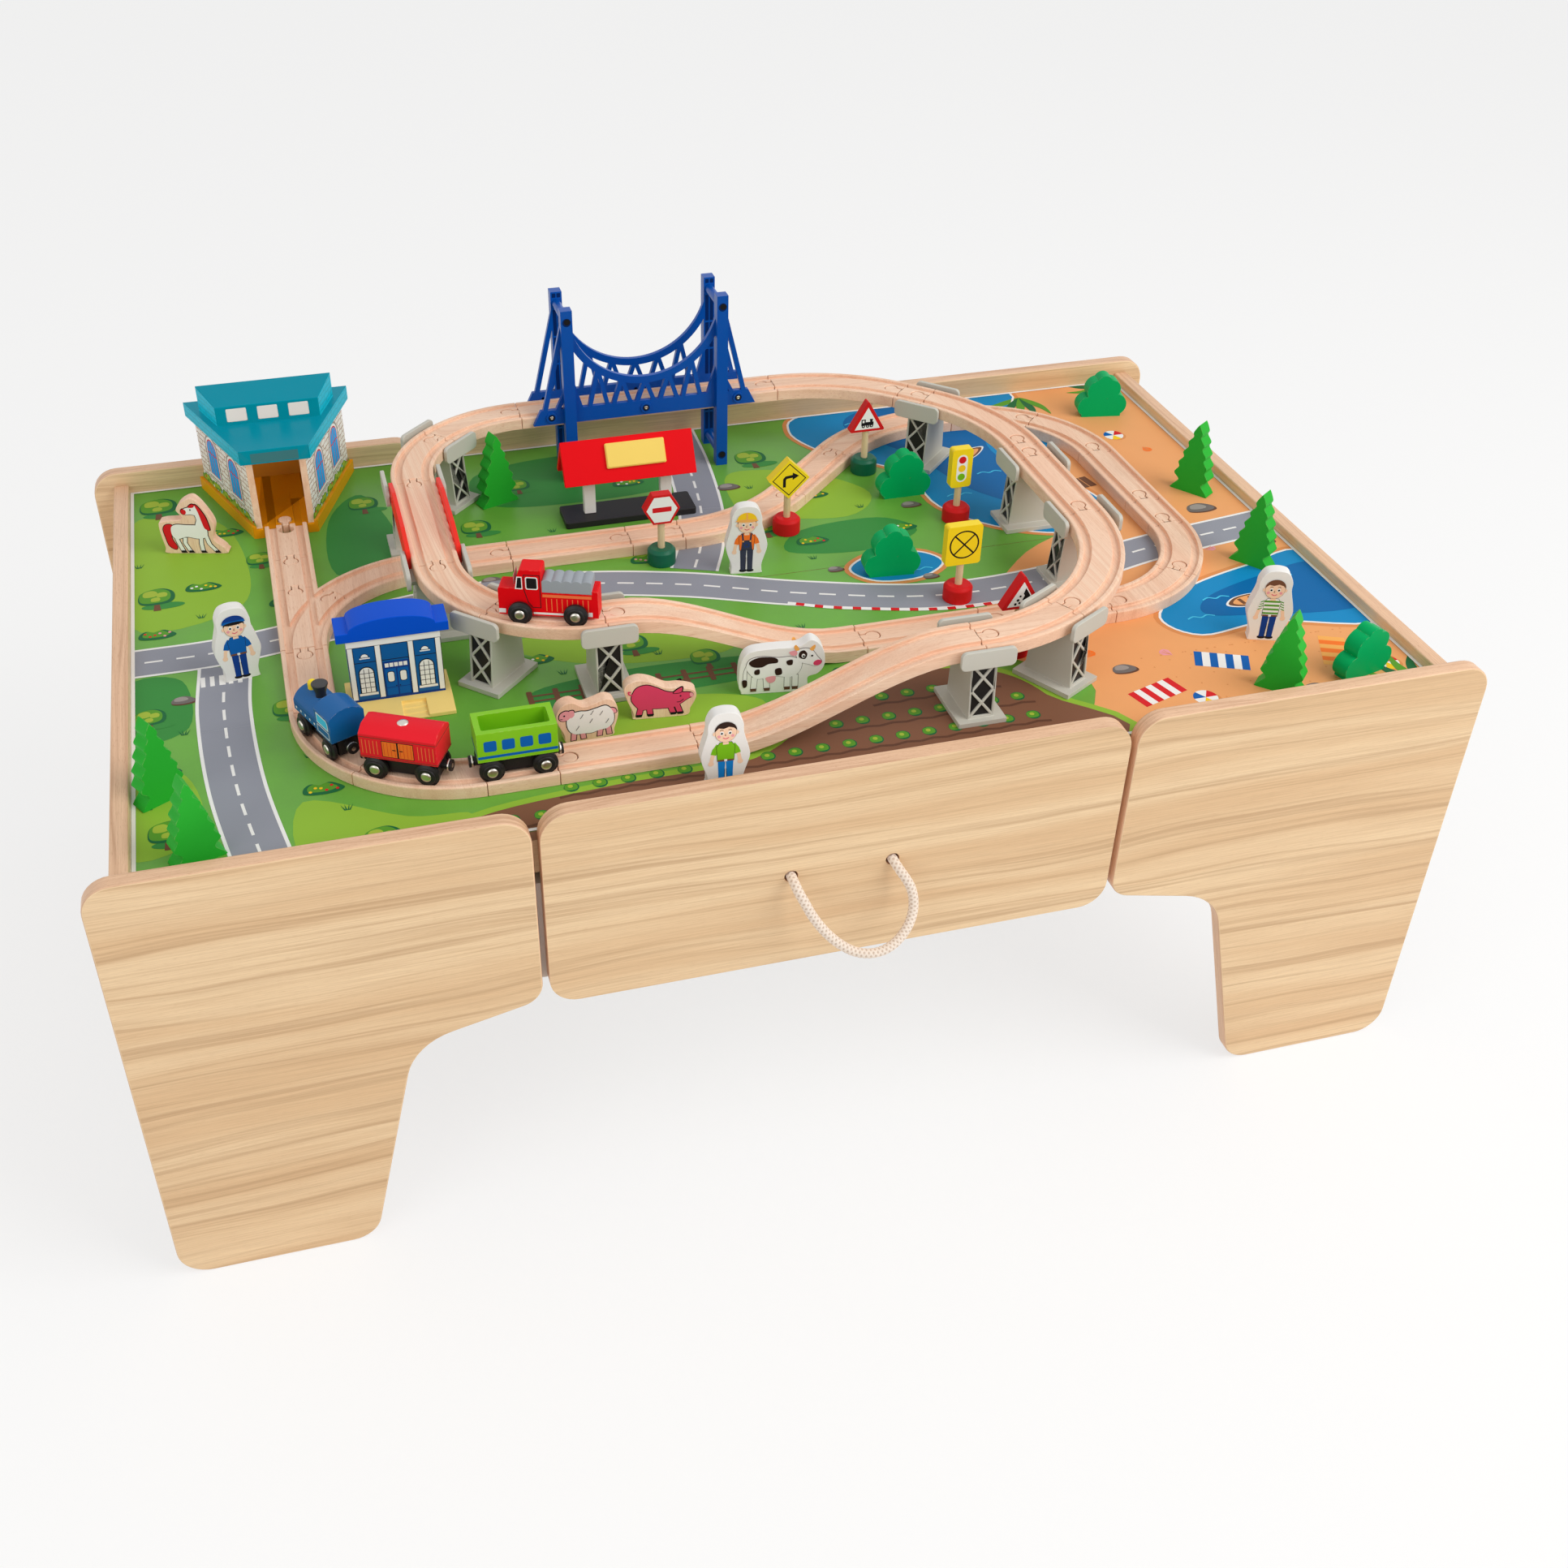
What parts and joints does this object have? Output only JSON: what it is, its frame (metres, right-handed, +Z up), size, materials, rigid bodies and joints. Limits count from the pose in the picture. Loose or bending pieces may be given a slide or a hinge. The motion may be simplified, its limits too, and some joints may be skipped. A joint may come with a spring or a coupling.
{
  "type": "train table",
  "caption": "Low rectangular play table on cut-out leg panels with a rope-handled drawer, carrying a wooden railway with bridge, vehicles, signs and figures.",
  "frame": {"origin": "middle of the table on the floor", "axes": "+X along the length to the right seen from the front, +Y to the back, +Z up"},
  "size_m": [1.2, 0.7524, 0.614],
  "materials": {
    "oak_laminate": "satin laminate with printed grain",
    "rail_wood": "plain sanded wood",
    "board_print": "printed matt lacquer",
    "drawer_white": "white melamine",
    "cotton_rope": "braided cotton",
    "track_beech": "sanded beech",
    "bridge_blue": "painted",
    "pier_grey": "matt",
    "guard_red": "gloss",
    "shed_amber": "clear gloss",
    "shed_print": "printed",
    "shed_teal": "clear gloss",
    "black_plastic": "satin",
    "white_paint": "painted",
    "red_paint": "painted",
    "yellow_paint": "painted",
    "green_paint": "painted",
    "pine_green": "painted",
    "bush_green": "painted",
    "blue_paint": "painted",
    "roof_blue": "painted",
    "cream_paint": "painted",
    "post_wood": "sanded",
    "figure_print": "printed cut-out",
    "lime_paint": "painted",
    "load_grey": "painted",
    "wheel_black": "satin"
  },
  "bodies": {
    "table": {"leg_panel_front_left": "oak_laminate", "leg_panel_front_right": "oak_laminate", "leg_panel_back_left": "oak_laminate", "leg_panel_back_right": "oak_laminate", "back_panel": "oak_laminate", "end_rails": "oak_laminate", "long_rails": "rail_wood", "board_supports": "rail_wood", "drawer_runners": "rail_wood", "board_front": "board_print", "board_back": "board_print", "track_straights": "track_beech", "track_curves": "track_beech", "track_switch": "track_beech", "track_ramps": "track_beech", "bridge_deck": "track_beech", "bridge_trusses": "bridge_blue", "bridge_crossbars": "bridge_blue", "pier_shells": "pier_grey", "guard_rails": "guard_red", "shed_base": "shed_amber", "shed_walls": "shed_print", "shed_roof": "shed_teal", "station_platform": "black_plastic", "station_posts": "white_paint", "station_roof": "red_paint", "building_base": "cream_paint", "building_block": "blue_paint", "building_roof": "roof_blue", "red_sign_bases": "red_paint", "green_sign_bases": "green_paint", "sign_posts": "post_wood", "red_sign_heads": "red_paint", "yellow_sign_heads": "yellow_paint", "pine_trees": "pine_green", "bush_trees": "bush_green", "people_figures": "figure_print", "animal_figures": "figure_print"},
    "drawer": {"drawer_front": "oak_laminate", "drawer_walls": "drawer_white", "drawer_floor": "drawer_white", "rope_handle": "cotton_rope", "rope_knots": "cotton_rope"},
    "loco": {"loco_body": "blue_paint", "loco_chassis": "black_plastic", "loco_fittings": "black_plastic"},
    "red_wagon": {"red_wagon_body": "red_paint", "red_wagon_chassis": "black_plastic"},
    "green_wagon": {"green_wagon_body": "lime_paint", "green_wagon_chassis": "black_plastic"},
    "lorry": {"lorry_body": "red_paint", "lorry_load": "load_grey"},
    "loco_axle_front_set": {"loco_axle_front": "wheel_black"},
    "loco_axle_rear_set": {"loco_axle_rear": "wheel_black"},
    "red_wagon_axle_front_set": {"red_wagon_axle_front": "wheel_black"},
    "red_wagon_axle_rear_set": {"red_wagon_axle_rear": "wheel_black"},
    "green_wagon_axle_front_set": {"green_wagon_axle_front": "wheel_black"},
    "green_wagon_axle_rear_set": {"green_wagon_axle_rear": "wheel_black"},
    "lorry_axle_front_set": {"lorry_axle_front": "wheel_black"},
    "lorry_axle_rear_set": {"lorry_axle_rear": "wheel_black"}
  },
  "joints": [
    {"name": "drawer_slide", "type": "slide", "parent": "table", "child": "drawer", "axis": [0, -1, 0], "range_m": [0, 0.4]},
    {"name": "loco_lift", "type": "slide", "parent": "table", "child": "loco", "axis": [0, 0, 1], "range_m": [0, 0.05]},
    {"name": "red_wagon_lift", "type": "slide", "parent": "table", "child": "red_wagon", "axis": [0, 0, 1], "range_m": [0, 0.05]},
    {"name": "green_wagon_lift", "type": "slide", "parent": "table", "child": "green_wagon", "axis": [0, 0, 1], "range_m": [0, 0.05]},
    {"name": "lorry_lift", "type": "slide", "parent": "table", "child": "lorry", "axis": [0, 0, 1], "range_m": [0, 0.05]},
    {"name": "green_wagon_axle_front_spin", "type": "hinge", "parent": "green_wagon", "child": "green_wagon_axle_front_set", "pos_m": [-0.278, -0.26, 0.4433], "axis": [0, 1, 0], "continuous": true},
    {"name": "green_wagon_axle_rear_spin", "type": "hinge", "parent": "green_wagon", "child": "green_wagon_axle_rear_set", "pos_m": [-0.234, -0.26, 0.4433], "axis": [0, 1, 0], "continuous": true},
    {"name": "loco_axle_front_spin", "type": "hinge", "parent": "loco", "child": "loco_axle_front_set", "pos_m": [-0.40732, -0.16239, 0.4433], "axis": [0.9178, 0.3971, 0], "continuous": true},
    {"name": "loco_axle_rear_spin", "type": "hinge", "parent": "loco", "child": "loco_axle_rear_set", "pos_m": [-0.38985, -0.20278, 0.4433], "axis": [0.9178, 0.3971, 0], "continuous": true},
    {"name": "lorry_axle_front_spin", "type": "hinge", "parent": "lorry", "child": "lorry_axle_front_set", "pos_m": [-0.22281, -0.1264, 0.5053], "axis": [0.3486, 0.9373, 0], "continuous": true},
    {"name": "lorry_axle_rear_spin", "type": "hinge", "parent": "lorry", "child": "lorry_axle_rear_set", "pos_m": [-0.17782, -0.14313, 0.5053], "axis": [0.3486, 0.9373, 0], "continuous": true},
    {"name": "red_wagon_axle_front_spin", "type": "hinge", "parent": "red_wagon", "child": "red_wagon_axle_front_set", "pos_m": [-0.36204, -0.23291, 0.4433], "axis": [0.4695, 0.8829, 0], "continuous": true},
    {"name": "red_wagon_axle_rear_spin", "type": "hinge", "parent": "red_wagon", "child": "red_wagon_axle_rear_set", "pos_m": [-0.32319, -0.25357, 0.4433], "axis": [0.4695, 0.8829, 0], "continuous": true}
  ]
}
